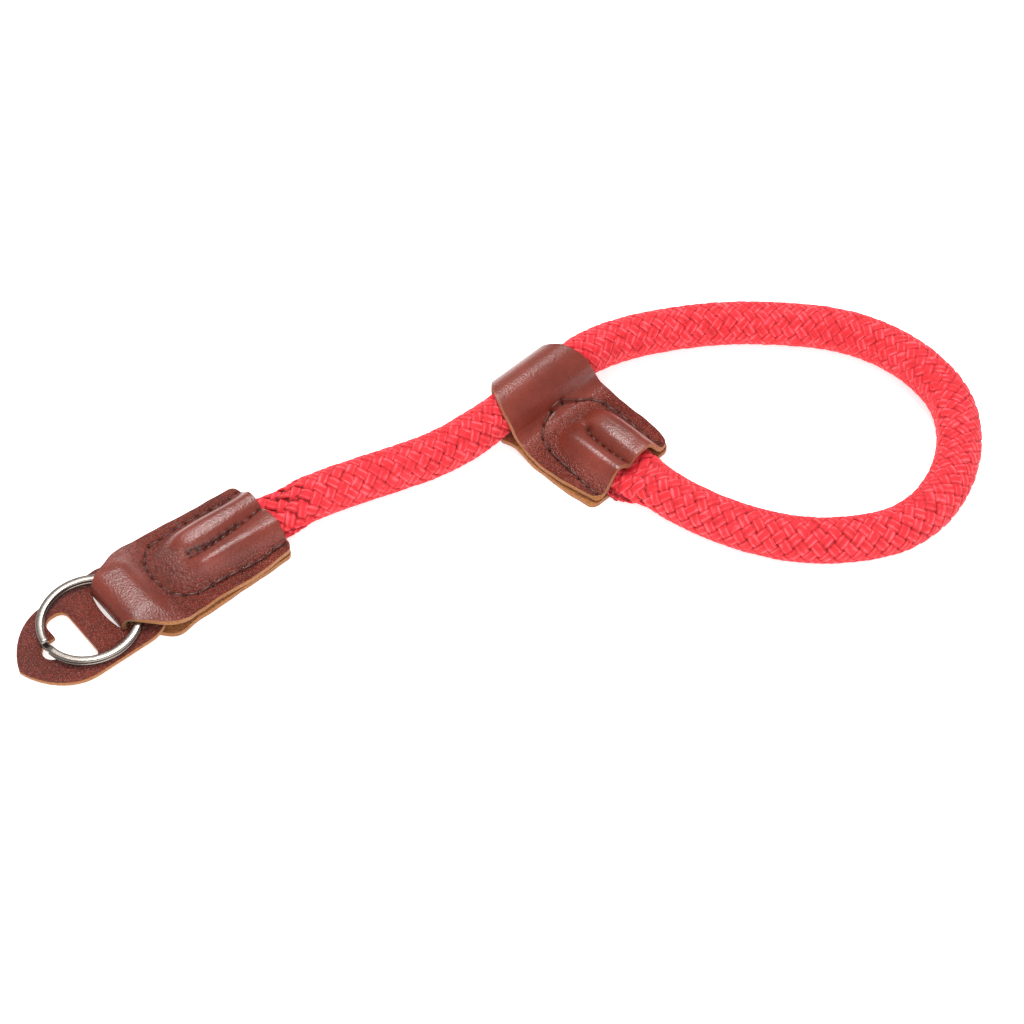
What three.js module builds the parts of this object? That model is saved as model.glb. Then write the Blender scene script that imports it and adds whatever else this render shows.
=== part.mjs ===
// Camera wrist strap: a braided rope loop with a leather slider, ending in a leather connector that holds a split
// ring and a leather protector pad. It lies on a table: z = 0 is the table top, millimetres, +Z up.
import * as THREE from 'three';
import { mergeVertices } from 'three/addons/utils/BufferGeometryUtils.js';

// ---- Driving dimensions ----------------------------------------------------------------------------------------

const ROPE_RADIUS = 5.5;
const ROPE_SIDES = 12;
const ROPE_STEPS = 80;

const LEATHER = 1.2; // thickness of every leather wall
const HALF_WALL = LEATHER / 2;
const CLEARANCE = 0.3; // between pieces that rest on each other
const STACK_GAP = 0.2; // between the layers stacked at the connector's neck
const SEAM_LOW = HALF_WALL; // middle of the lower ply where it lies on the table
const SEAM_HIGH = LEATHER + CLEARANCE + HALF_WALL; // middle of the upper ply where it is sewn down

const CONNECTOR_PLACE = { x: -91.9, y: -37.2, turn: 39 }; // the fold's outer face, turn in degrees about +Z
const CONNECTOR_LENGTH = 43.4;
const SLIDER_PLACE = { x: 0.2, y: 32, turn: -45 }; // back of the fold that holds the passing rope
const SLIDER_LENGTH = 39;

const PAD_TIP = 23.3; // from the connector's fold to the pad's tip
const PAD_OFFSET = -1.1; // the pad sits a little to one side of the neck
const PAD_TAIL = 10.5; // how far the pad reaches between the connector's plies
const PAD_HALF_WIDTH = 11.9;
const SLOT = { from: -0.7, to: 3, half: 6.9 }; // passes the connector's neck, so it is cut centred on the neck
const WINDOW = { from: -12.3, to: -6.9, half: 8.1, corner: 2.2, lobeHalf: 2.6, lobeEnd: -17 };
const PAD_TILT = Math.atan((LEATHER + STACK_GAP + 0.1) / (PAD_TIP + SLOT.to)); // tip on the table, tail on the ply

const RING_RADIUS = 11.1; // middle of the wire
const RING_WIRE = { wide: 1.55, high: 0.75 };
const RING_PITCH = 0.85; // from one turn to the next
const RING_CENTRE = { along: -4.0, across: -0.25 };
const RING_STEP_ANGLE = THREE.MathUtils.degToRad(14); // where the wire climbs from the lower turn to the upper one
const RING_END_GAP = THREE.MathUtils.degToRad(4);
const RING_ENDS_AT = THREE.MathUtils.degToRad(187);

const STRIP_ROWS = 38;
const STRIP_COLUMNS = 18;

// The rope's route, from its end inside the connector to its end inside the slider.
const ROPE_ROUTE = [
  [-77.9, -25.7, 3.5],
  [-71.3, -20.3, 3.9],
  [-64.3, -14.8, 3.9],
  [-57.4, -10.4, 4.6],
  [-49.8, -7.3, 5.4],
  [-41.3, -3.2, 5.7],
  [-30.3, 1.8, 5.6],
  [-19.3, 7.0, 5.6],
  [-11.3, 12.2, 6.1],
  [-5.2, 17.7, 6.6],
  [1.3, 24.2, 6.6],
  [7.8, 30.7, 6.6],
  [14.3, 37.0, 6.6],
  [21.3, 42.1, 6.1],
  [30.7, 46.5, 5.6],
  [43.7, 49.6, 5.55],
  [55.7, 50.7, 5.55],
  [67.7, 50.2, 5.55],
  [79.2, 48.3, 5.55],
  [89.7, 43.5, 5.55],
  [98.7, 35.2, 5.55],
  [104.8, 23.0, 5.55],
  [104.4, 8.0, 5.55],
  [98.2, -6.3, 5.55],
  [88.5, -15.2, 5.55],
  [77.2, -18.5, 5.55],
  [66.2, -18.8, 5.55],
  [55.7, -16.4, 5.55],
  [45.5, -11.9, 5.6],
  [36.0, -5.6, 5.7],
  [27.6, 3.2, 5.0],
  [21.1, 10.6, 4.2],
  [15.4, 16.7, 4.2],
];

// Middle line of the connector's strip, from the lower ply's sewn end, round the neck's fold, to the upper ply's
// mouth: distance from the fold's outer face, height, and how far the strip reaches to its near and far sides.
const CONNECTOR_STRIP = [
  { along: CONNECTOR_LENGTH, up: SEAM_LOW, near: 11.7, far: 11.7 },
  { along: 30, up: SEAM_LOW, near: 12.7, far: 12.4 },
  { along: 16, up: SEAM_LOW, near: 13.6, far: 13.2 },
  { along: 10, up: SEAM_LOW, near: 14.2, far: 12.0 },
  { along: 6, up: SEAM_LOW, near: 10.4, far: 9.2 },
  { along: 3.4, up: SEAM_LOW, near: 7.2, far: 7.0 },
  { along: 1.6, up: 1.1, near: 6.5, far: 6.5 },
  { along: 0.8, up: 2.6, near: 6.4, far: 6.5 },
  { along: 1.5, up: 4.6, near: 6.7, far: 7.0 },
  { along: 3.4, up: 5.5, near: 8.7, far: 8.3 },
  { along: 6.2, up: 5.75, near: 11.0, far: 9.7 },
  { along: 9.0, up: 5.45, near: 13.2, far: 11.3 },
  { along: 11.5, up: 4.1, near: 13.8, far: 12.4 },
  { along: 14, up: 2.7, near: 13.5, far: 13.0 },
  { along: 17, up: SEAM_HIGH, near: 12.9, far: 13.3 },
  { along: 23, up: SEAM_HIGH, near: 12.6, far: 13.0 },
  { along: 30, up: SEAM_HIGH, near: 12.8, far: 12.5 },
  { along: 37, up: SEAM_HIGH, near: 12.4, far: 12.0 },
  { along: CONNECTOR_LENGTH, up: SEAM_HIGH, near: 11.5, far: 11.7 },
];

// How the upper ply is moulded over the rope's end: height, half-width and middle of the swelling, depth and place
// of its sewn groove, and how far the margins are lifted, or hang down at the shoulder.
const CONNECTOR_MOULD = [
  { along: 2.5, lift: 0, span: 5, centre: 0, groove: 0, grooveAt: 1, margin: 0 },
  { along: 6, lift: 0, span: 5, centre: 0, groove: 0, grooveAt: 1, margin: -1.1 },
  { along: 9.5, lift: 0, span: 5, centre: 0, groove: 0, grooveAt: 1, margin: -1.1 },
  { along: 13.6, lift: 0, span: 5, centre: 0, groove: 0, grooveAt: 1, margin: 0 },
  { along: 16.5, lift: 0.9, span: 7.2, centre: 0, groove: 0, grooveAt: 1, margin: 0 },
  { along: 20, lift: 2.7, span: 8.3, centre: 0, groove: 0.1, grooveAt: 1, margin: 0 },
  { along: 24, lift: 4.2, span: 8.8, centre: 0, groove: 0.7, grooveAt: 0.3, margin: 0 },
  { along: 30, lift: 4.8, span: 8.9, centre: -0.3, groove: 1.3, grooveAt: -0.5, margin: 0.3 },
  { along: 37, lift: 4.8, span: 8.7, centre: -0.7, groove: 1.3, grooveAt: 0, margin: 0.9 },
  { along: CONNECTOR_LENGTH, lift: 4.4, span: 8.6, centre: -1.1, groove: 0.9, grooveAt: 0.7, margin: 1.5 },
];

// The slider's strip, the same way: its fold is the tunnel round the passing rope.
const SLIDER_STRIP = [
  { along: SLIDER_LENGTH, up: SEAM_LOW, near: 13.6, far: 12.8 },
  { along: 30, up: SEAM_LOW, near: 13.6, far: 14 },
  { along: 22, up: SEAM_LOW, near: 12.9, far: 14.5 },
  { along: 18.5, up: 1.4, near: 12.6, far: 14.2 },
  { along: 14.6, up: 2.8, near: 12.6, far: 13.9 },
  { along: 11.2, up: 2.0, near: 13.4, far: 13.2 },
  { along: 8.6, up: 0.9, near: 13.4, far: 12.4 },
  { along: 6, up: SEAM_LOW, near: 12.2, far: 10.6 },
  { along: 2.9, up: 1.4, near: 10.3, far: 8.8 },
  { along: 0.5, up: 3.6, near: 8.2, far: 8.1 },
  { along: -0.4, up: 6.8, near: 7.6, far: 7.8 },
  { along: 0.5, up: 10.0, near: 8.2, far: 8.0 },
  { along: 2.9, up: 12.5, near: 10.6, far: 8.6 },
  { along: 6, up: 13.4, near: 12.8, far: 10.1 },
  { along: 9.2, up: 12.5, near: 14.2, far: 11.6 },
  { along: 11.5, up: 10.4, near: 14.4, far: 12.7 },
  { along: 12.7, up: 8.1, near: 14.1, far: 13.2 },
  { along: 13.5, up: 6.2, near: 13.9, far: 13.6 },
  { along: 15, up: 4.5, near: 13.9, far: 13.9 },
  { along: 18.5, up: 3.0, near: 14.1, far: 14.4 },
  { along: 22, up: SEAM_HIGH, near: 14.0, far: 14.7 },
  { along: 30, up: SEAM_HIGH, near: 13.7, far: 14.1 },
  { along: 35, up: SEAM_HIGH, near: 12.9, far: 13.4 },
  { along: SLIDER_LENGTH, up: SEAM_HIGH, near: 12.2, far: 12.2 },
];

const SLIDER_MOULD = [
  { along: 16.5, lift: 0, span: 6, centre: 0.4, groove: 0, grooveAt: 1.2, margin: 0 },
  { along: 19, lift: 1.4, span: 8.4, centre: 0.4, groove: 0, grooveAt: 1.2, margin: 0 },
  { along: 22, lift: 3.8, span: 9.4, centre: 0.4, groove: 0.2, grooveAt: 1.2, margin: 0 },
  { along: 25.5, lift: 5, span: 9.8, centre: 0.3, groove: 1.0, grooveAt: 0, margin: 0 },
  { along: 30, lift: 5.4, span: 9.8, centre: 0, groove: 1.7, grooveAt: -1.1, margin: 0.1 },
  { along: 35, lift: 5.4, span: 9.6, centre: -0.4, groove: 1.7, grooveAt: -1.3, margin: 0.3 },
  { along: SLIDER_LENGTH, lift: 5.2, span: 9.4, centre: -0.8, groove: 1.4, grooveAt: -1.2, margin: 0.6 },
];

// ---- Finishes --------------------------------------------------------------------------------------------------

const FINISH = {
  rope: { color: 0xe8404b, roughness: 0.85, metalness: 0 },
  leather: { color: 0x7a4640, roughness: 0.5, metalness: 0 },
  steel: { color: 0xb8b2ab, roughness: 0.25, metalness: 1 },
};

function namedMesh(name, geometry, finish) {
  const mesh = new THREE.Mesh(geometry, new THREE.MeshStandardMaterial(FINISH[finish]));
  mesh.name = name;
  return mesh;
}

function placedGroup({ x, y, turn }) {
  const group = new THREE.Group();
  group.position.set(x, y, 0);
  group.rotation.z = THREE.MathUtils.degToRad(turn);
  return group;
}

// ---- Leather strips --------------------------------------------------------------------------------------------

// Reads one column of a table at a place along the strip, easing from each row to the next.
function readColumn(table, column, along) {
  const next = table.findIndex((row) => row.along >= along);
  if (next === 0) return table[0][column];
  if (next < 0) return table[table.length - 1][column];
  const before = table[next - 1];
  const after = table[next];
  const part = THREE.MathUtils.smoothstep(along, before.along, after.along);
  return THREE.MathUtils.lerp(before[column], after[column], part);
}

const MARGIN = { from: 6, to: 11.5 }; // across the strip
const SHOULDER_FROM = 0.45; // share of the span where the swelling starts to fall
const SHOULDER_TO = 1.12;
const GROOVE_WIDTH = 2.2;

// Height that the mould adds to the upper ply.
function upperLift(mould, along, across, grooveWidth = GROOVE_WIDTH) {
  const read = (column) => readColumn(mould, column, along);
  const share = Math.abs(across - read('centre')) / read('span');
  const dome = 1 - THREE.MathUtils.smootherstep(share, SHOULDER_FROM, SHOULDER_TO);
  const groove = read('groove') * Math.exp(-(((across - read('grooveAt')) / grooveWidth) ** 2));
  const margin = read('margin') * THREE.MathUtils.smoothstep(Math.abs(across), MARGIN.from, MARGIN.to);
  return read('lift') * dome - groove + margin;
}

// One long edge of a strip, as an even curve through its rows.
function stripEdge(strip, across) {
  const stops = strip.map((row) => new THREE.Vector3(row.along, across(row), row.up));
  return new THREE.CatmullRomCurve3(stops, false, 'catmullrom');
}

// A wall of leather: a thin plate whose grid of points is carried onto the folded strip's middle surface.
function leatherStrip(strip, mould) {
  const nearEdge = stripEdge(strip, (row) => -row.near);
  const farEdge = stripEdge(strip, (row) => row.far);
  const alongs = strip.map((row) => row.along);
  const foldAt = alongs.indexOf(Math.min(...alongs)) / (strip.length - 1);
  const middle = (a, b) => {
    const place = THREE.MathUtils.clamp(a, 0, 1);
    const point = nearEdge.getPoint(place).lerp(farEdge.getPoint(place), (b + 1) / 2);
    point.z = Math.max(point.z, SEAM_LOW);
    if (place > foldAt) point.z += upperLift(mould, point.x, point.y);
    return point;
  };
  const outward = (a, b) => {
    const step = 0.002;
    const alongStrip = middle(Math.min(a + step, 1), b).sub(middle(Math.max(a - step, 0), b));
    const acrossStrip = middle(a, b + step).sub(middle(a, b - step));
    return alongStrip.cross(acrossStrip).normalize();
  };

  const plate = new THREE.BoxGeometry(1, 1, 1, STRIP_ROWS, STRIP_COLUMNS, 1);
  plate.deleteAttribute('normal');
  plate.deleteAttribute('uv');
  const wall = mergeVertices(plate);
  const position = wall.getAttribute('position');
  for (let i = 0; i < position.count; i += 1) {
    const a = position.getX(i) + 0.5;
    const b = position.getY(i) * 2;
    const side = position.getZ(i) * 2;
    const point = middle(a, b).addScaledVector(outward(a, b), side * HALF_WALL);
    position.setXYZ(i, point.x, point.y, point.z);
  }
  return wall;
}

// ---- Protector pad ---------------------------------------------------------------------------------------------

function padOutline() {
  const half = PAD_HALF_WIDTH;
  const outline = new THREE.Shape();
  outline.moveTo(-PAD_TIP, 0);
  outline.bezierCurveTo(-21.8, -5.4, -17, -11.6, -10.5, -half);
  outline.lineTo(4.5, -half);
  outline.lineTo(PAD_TAIL, -7);
  outline.lineTo(PAD_TAIL, 7);
  outline.lineTo(4.5, half);
  outline.lineTo(-10.5, half);
  outline.bezierCurveTo(-17, 11.6, -21.8, 5.4, -PAD_TIP, 0);
  return outline;
}

function slotOutline() {
  const slot = new THREE.Path();
  const nearEnd = -PAD_OFFSET - SLOT.half;
  const farEnd = -PAD_OFFSET + SLOT.half;
  slot.moveTo(SLOT.from, nearEnd);
  slot.lineTo(SLOT.to, nearEnd);
  slot.lineTo(SLOT.to, farEnd);
  slot.lineTo(SLOT.from, farEnd);
  return slot;
}

// The window: a wide part beside the bridge, and a narrow round lobe towards the tip.
function windowOutline() {
  const { from, to, half, corner, lobeHalf, lobeEnd } = WINDOW;
  const hole = new THREE.Path();
  hole.moveTo(to, -half + corner);
  hole.absarc(to - corner, half - corner, corner, 0, Math.PI / 2, false);
  hole.absarc(from + corner, half - corner, corner, Math.PI / 2, Math.PI, false);
  hole.lineTo(from, lobeHalf);
  hole.absarc(lobeEnd + lobeHalf, 0, lobeHalf, Math.PI / 2, Math.PI * 1.5, false);
  hole.lineTo(from, -lobeHalf);
  hole.absarc(from + corner, -half + corner, corner, Math.PI, Math.PI * 1.5, false);
  hole.absarc(to - corner, -half + corner, corner, Math.PI * 1.5, Math.PI * 2, false);
  return hole;
}

function protectorPad() {
  const outline = padOutline();
  outline.holes.push(slotOutline(), windowOutline());
  return new THREE.ExtrudeGeometry(outline, { depth: LEATHER, bevelEnabled: false, curveSegments: 8 });
}

// ---- Split ring ------------------------------------------------------------------------------------------------

// One wire in two flat turns: the first turn, a short climb, then the second turn lying on the first.
class SplitRingPath extends THREE.Curve {
  getPoint(t, target = new THREE.Vector3()) {
    const turned = t * (4 * Math.PI - RING_STEP_ANGLE - RING_END_GAP);
    const climb = THREE.MathUtils.smoothstep(turned, 2 * Math.PI - RING_STEP_ANGLE, 2 * Math.PI);
    const angle = RING_ENDS_AT + turned;
    return target.set(RING_RADIUS * Math.cos(angle), RING_RADIUS * Math.sin(angle), climb * RING_PITCH);
  }
}

function splitRing() {
  const { wide, high } = RING_WIRE;
  const ease = 0.2; // the wire's rounded edges
  const section = new THREE.Shape([
    [-high / 2, -wide / 2 + ease],
    [-high / 2 + ease, -wide / 2],
    [high / 2 - ease, -wide / 2],
    [high / 2, -wide / 2 + ease],
    [high / 2, wide / 2 - ease],
    [high / 2 - ease, wide / 2],
    [-high / 2 + ease, wide / 2],
    [-high / 2, wide / 2 - ease],
  ].map(([x, y]) => new THREE.Vector2(x, y)));
  return new THREE.ExtrudeGeometry(section, { extrudePath: new SplitRingPath(), steps: 96 });
}

// ---- Rope ------------------------------------------------------------------------------------------------------

// The two stitched ends: pressed flat between a strip's plies, and round again a little outside its mouth.
const PRESSED_ENDS = [
  { place: CONNECTOR_PLACE, length: CONNECTOR_LENGTH, mould: CONNECTOR_MOULD, halfWidth: 7.3 },
  { place: SLIDER_PLACE, length: SLIDER_LENGTH, mould: SLIDER_MOULD, halfWidth: 8 },
];
const PRESS_START = 12; // from the fold, past the passing rope
const PRESS_FROM = 1; // outside the mouth
const PRESS_TO = 12;
const TUNNEL = { axis: 6.2, half: 11, fade: 10, squeeze: 0.08 };
const FLAT_SHARE = 0.8; // the pressed section is flat above and below, with a rounded rim

function pressEnd({ place, length, mould, halfWidth }, centre, point) {
  const strip = placedGroup(place);
  strip.updateMatrixWorld();
  const middle = strip.worldToLocal(centre.clone());
  const local = strip.worldToLocal(point.clone());
  const reach = length + PRESS_TO;
  if (middle.x < PRESS_START || middle.x > reach || Math.abs(middle.y) > ROPE_RADIUS) return;
  const amount = 1 - THREE.MathUtils.smoothstep(local.x, length + PRESS_FROM, reach);
  const across = middle.y + (local.y - middle.y) * (halfWidth / ROPE_RADIUS);
  const low = LEATHER + CLEARANCE;
  const high = LEATHER - CLEARANCE / 2 + upperLift(mould, local.x, across, 2 * GROOVE_WIDTH);
  const height = THREE.MathUtils.clamp((local.z - middle.z) / (FLAT_SHARE * ROPE_RADIUS), -1, 1);
  const pressed = new THREE.Vector3(local.x, across, (low + high) / 2 + ((high - low) / 2) * height);
  point.copy(strip.localToWorld(local.lerp(pressed, amount)));
}

// Inside the slider's tunnel the passing rope is squeezed a little thinner.
function squeezePassing(centre, point) {
  const strip = placedGroup(SLIDER_PLACE);
  strip.updateMatrixWorld();
  const middle = strip.worldToLocal(centre.clone());
  if (Math.abs(middle.x - TUNNEL.axis) > ROPE_RADIUS) return;
  const amount = 1 - THREE.MathUtils.smoothstep(Math.abs(middle.y), TUNNEL.half, TUNNEL.half + TUNNEL.fade);
  point.sub(centre).multiplyScalar(1 - TUNNEL.squeeze * amount).add(centre);
}

function rope() {
  const route = new THREE.CatmullRomCurve3(ROPE_ROUTE.map((stop) => new THREE.Vector3(...stop)));
  const centres = route.getSpacedPoints(ROPE_STEPS);
  const section = new THREE.Shape();
  section.setFromPoints(
    Array.from({ length: ROPE_SIDES }, (_, side) => {
      const angle = (side / ROPE_SIDES) * 2 * Math.PI;
      return new THREE.Vector2(ROPE_RADIUS * Math.cos(angle), ROPE_RADIUS * Math.sin(angle));
    }),
  );
  const tube = new THREE.ExtrudeGeometry(section, { extrudePath: route, steps: ROPE_STEPS });
  const position = tube.getAttribute('position');
  for (let i = 0; i < position.count; i += 1) {
    const point = new THREE.Vector3().fromBufferAttribute(position, i);
    const distances = centres.map((centre) => centre.distanceTo(point));
    const centre = centres[distances.indexOf(Math.min(...distances))];
    squeezePassing(centre, point);
    PRESSED_ENDS.forEach((end) => pressEnd(end, centre, point));
    position.setXYZ(i, point.x, point.y, point.z);
  }
  return tube;
}

// ---- Assembly --------------------------------------------------------------------------------------------------

const strap = new THREE.Group();

strap.add(namedMesh('rope', rope(), 'rope'));

const connector = placedGroup(CONNECTOR_PLACE);
connector.add(namedMesh('connector_leather', leatherStrip(CONNECTOR_STRIP, CONNECTOR_MOULD), 'leather'));
strap.add(connector);

const onPad = new THREE.Group(); // the pad's plane: pivots at the tip, which rests on the table
onPad.position.set(-PAD_TIP, PAD_OFFSET, 0);
onPad.rotation.y = -PAD_TILT;
connector.add(onPad);

const pad = namedMesh('protector_pad', protectorPad(), 'leather');
pad.position.x = PAD_TIP;
onPad.add(pad);

const ring = namedMesh('split_ring', splitRing(), 'steel');
ring.position.set(
  PAD_TIP + RING_CENTRE.along,
  RING_CENTRE.across - PAD_OFFSET,
  LEATHER + STACK_GAP + RING_WIRE.high / 2,
);
onPad.add(ring);

const slider = placedGroup(SLIDER_PLACE);
slider.add(namedMesh('slider_leather', leatherStrip(SLIDER_STRIP, SLIDER_MOULD), 'leather'));
strap.add(slider);

export default strap;
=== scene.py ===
# %% [markdown]
# # A rope wrist strap for a camera
# The strap is one length of braided cord. One end is sewn into a leather connector that holds a split ring, and the
# other end is sewn into a leather slider that runs on the cord, so that the loop can be drawn close round a wrist.
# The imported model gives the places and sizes. This lesson builds the surfaces on it, one piece at a time.

# %% Load the frame
import math

import bmesh
import bpy
import numpy as np
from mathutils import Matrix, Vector


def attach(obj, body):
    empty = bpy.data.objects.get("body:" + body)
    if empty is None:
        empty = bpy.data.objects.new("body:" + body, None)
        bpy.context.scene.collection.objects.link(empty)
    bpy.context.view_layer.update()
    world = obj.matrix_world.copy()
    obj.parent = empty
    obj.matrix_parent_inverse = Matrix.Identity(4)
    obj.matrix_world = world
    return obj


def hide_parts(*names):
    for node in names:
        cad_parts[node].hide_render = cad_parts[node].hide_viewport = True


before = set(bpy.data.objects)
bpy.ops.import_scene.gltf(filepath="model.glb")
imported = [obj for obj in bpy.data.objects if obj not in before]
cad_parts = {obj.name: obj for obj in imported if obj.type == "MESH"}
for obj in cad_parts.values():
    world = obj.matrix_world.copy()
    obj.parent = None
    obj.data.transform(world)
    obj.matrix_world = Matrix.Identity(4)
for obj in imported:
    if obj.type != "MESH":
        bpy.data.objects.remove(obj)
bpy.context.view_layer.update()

MM = 0.001
scene = bpy.context.scene

# %% [markdown]
# ## Camera, floor and light
# The strap lies on a white acrylic table that is lit from below. One soft light hangs above it, a little behind, a
# larger and weaker one stands in front, and pale surroundings fill the shadows. A long lens from half a metre away
# keeps the shapes nearly free of perspective.

# %% Camera
LOOK_AT = (-0.8 * MM, -5.8 * MM, 0.0)
CAMERA_BACK = 352.83 * MM
CAMERA_UP = 418.97 * MM
SENSOR_MM = 36.0
LENS_MM = 82.43

camera_data = bpy.data.cameras.new("camera")
camera_data.lens = LENS_MM
camera_data.sensor_width = SENSOR_MM
camera_data.clip_start = 0.01
camera = bpy.data.objects.new("camera", camera_data)
camera.location = (LOOK_AT[0], LOOK_AT[1] - CAMERA_BACK, CAMERA_UP)
camera.rotation_euler = (Vector(LOOK_AT) - camera.location).to_track_quat("-Z", "Y").to_euler()
scene.collection.objects.link(camera)
scene.camera = camera
print("camera at", [round(c, 3) for c in camera.location])

# %% Floor, lights and the pale room
FLOOR_SIZE = 6.0
SKY_STRENGTH = 0.5
TABLE_GLOW = 0.6  # light that comes up through the table


def linear(code):
    """The linear RGBA of an sRGB hex colour such as #aabbcc."""
    shares = [int(code[i : i + 2], 16) / 255 for i in (1, 3, 5)]
    return [c / 12.92 if c <= 0.04045 else ((c + 0.055) / 1.055) ** 2.4 for c in shares] + [1.0]


def plug(node, sockets):
    """Gives each input of a node a value, another node's output, or another node, for that node's first output."""
    for key, value in sockets.items():
        if isinstance(value, bpy.types.Node):
            value = value.outputs[0]
        if isinstance(value, bpy.types.NodeSocket):
            node.id_data.links.new(value, node.inputs[key])
        else:
            node.inputs[key].default_value = value


def add(tree, kind, sockets=None, **settings):
    """Adds a node, with its settings and its inputs."""
    node = tree.nodes.new("ShaderNode" + kind)
    for name, value in settings.items():
        setattr(node, name, value)
    plug(node, sockets or {})
    return node


def colour_ramp(tree, value, stops):
    """A ramp through stops of place and colour, read at value."""
    ramp = add(tree, "ValToRGB", {"Fac": value})
    elements = ramp.color_ramp.elements
    for element, (place, code) in zip(elements, (stops[0], stops[-1])):
        element.position = place
        element.color = linear(code)
    for place, code in stops[1:-1]:
        elements.new(place).color = linear(code)
    return ramp


def new_material(name):
    """An empty material with a Principled shader joined to its output."""
    material = bpy.data.materials.new(name)
    material.use_nodes = True
    tree = material.node_tree
    tree.nodes.clear()
    shader = add(tree, "BsdfPrincipled")
    add(tree, "OutputMaterial", {"Surface": shader})
    return material, tree, shader


# Light from below makes the sheet an even white with no gloss, and leaves only pale shadows on it.
acrylic, tree, shader = new_material("white_acrylic_lit_from_below")
plug(shader, {
    "Base Color": linear("#f6f5f4"), "Roughness": 0.9,
    "Emission Color": linear("#ffffff"), "Emission Strength": TABLE_GLOW,
})

bm = bmesh.new()
bmesh.ops.create_grid(bm, x_segments=1, y_segments=1, size=FLOOR_SIZE / 2)
floor_mesh = bpy.data.meshes.new("floor")
bm.to_mesh(floor_mesh)
bm.free()
floor = bpy.data.objects.new("floor", floor_mesh)
floor_mesh.materials.append(acrylic)
scene.collection.objects.link(floor)

world = bpy.data.worlds.new("pale_room")
world.use_nodes = True
plug(world.node_tree.nodes["Background"], {"Color": linear("#ffffff"), "Strength": SKY_STRENGTH})
scene.world = world

SOFT_LIGHTS = [  # name, place, size in metres, watts
    ("softbox_overhead", (-0.1, 0.4, 1.08), 0.46, 13.0),
    ("softbox_front", (0.15, -0.95, 0.62), 1.1, 8.0),
]
for name, place, size, watts in SOFT_LIGHTS:
    light = bpy.data.lights.new(name, "AREA")
    light.size = size
    light.energy = watts
    lamp = bpy.data.objects.new(name, light)
    lamp.location = place
    lamp.rotation_euler = (-Vector(place)).to_track_quat("-Z", "Y").to_euler()
    scene.collection.objects.link(lamp)
scene.view_settings.view_transform = "Standard"
print("lights", [entry[0] for entry in SOFT_LIGHTS])

# %% [markdown]
# ## The shared sizes
# Leather of one thickness makes every flat piece. Two strips of it are folded and moulded over the cord's ends. Each
# strip is a short table of stations, from the sewn end of its lower ply, round the fold, to the mouth of its upper
# ply. A second table says how the upper ply is moulded. All these numbers are millimetres.

# %% Sizes and tables
ROPE_RADIUS = 5.5
LEATHER = 1.2
HALF_WALL = LEATHER / 2
CLEARANCE = 0.3
SEAM_LOW = HALF_WALL  # heights of the lower and upper ply's middle where they are sewn together
SEAM_HIGH = LEATHER + CLEARANCE + HALF_WALL

CONNECTOR = {"place": (-91.9, -37.2), "turn": 39.0, "length": 43.4, "half_width": 6.8}
SLIDER = {"place": (0.2, 32.0), "turn": -45.0, "length": 39.0, "half_width": 8.0}

# along, up, and the reach to the near and the far edge
CONNECTOR["strip"] = np.array([
    (43.4, SEAM_LOW, 11.7, 11.7),
    (30, SEAM_LOW, 12.7, 12.4),
    (16, SEAM_LOW, 13.6, 13.2),
    (10, SEAM_LOW, 14.2, 12.0),
    (6, SEAM_LOW, 10.4, 9.2),
    (3.4, SEAM_LOW, 7.2, 7.0),
    (1.6, 1.1, 6.5, 6.5),
    (0.8, 2.6, 6.4, 6.5),
    (1.5, 4.6, 6.7, 7.0),
    (3.4, 5.5, 8.7, 8.3),
    (6.2, 5.75, 11.0, 9.7),
    (9.0, 5.45, 13.2, 11.3),
    (11.5, 4.1, 13.8, 12.4),
    (14, 2.7, 13.5, 13.0),
    (17, SEAM_HIGH, 12.9, 13.3),
    (23, SEAM_HIGH, 12.6, 13.0),
    (30, SEAM_HIGH, 12.8, 12.5),
    (37, SEAM_HIGH, 12.4, 12.0),
    (43.4, SEAM_HIGH, 11.5, 11.7),
])
SLIDER["strip"] = np.array([
    (39, SEAM_LOW, 13.6, 12.8),
    (30, SEAM_LOW, 14.3, 14),
    (22, SEAM_LOW, 14.3, 14.5),
    (18.5, 1.4, 14.3, 14.2),
    (14.6, 2.8, 14.3, 13.9),
    (11.2, 2.0, 14.3, 13.2),
    (8.6, 0.9, 13.9, 12.4),
    (6, SEAM_LOW, 12.2, 10.6),
    (2.9, 1.4, 10.3, 8.8),
    (0.5, 3.6, 8.2, 8.1),
    (-0.4, 6.8, 7.6, 7.8),
    (0.5, 10.0, 8.2, 8.0),
    (2.9, 12.5, 10.6, 8.6),
    (6, 13.4, 12.8, 10.1),
    (9.2, 12.5, 14.2, 11.6),
    (11.5, 10.4, 14.4, 12.7),
    (12.7, 8.1, 14.1, 13.2),
    (13.5, 6.2, 13.9, 13.6),
    (15, 4.5, 13.9, 13.9),
    (18.5, 3.0, 14.1, 14.4),
    (22, SEAM_HIGH, 14.0, 14.7),
    (30, SEAM_HIGH, 13.7, 14.1),
    (35, SEAM_HIGH, 12.9, 13.4),
    (39, SEAM_HIGH, 12.2, 12.2),
])

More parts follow.
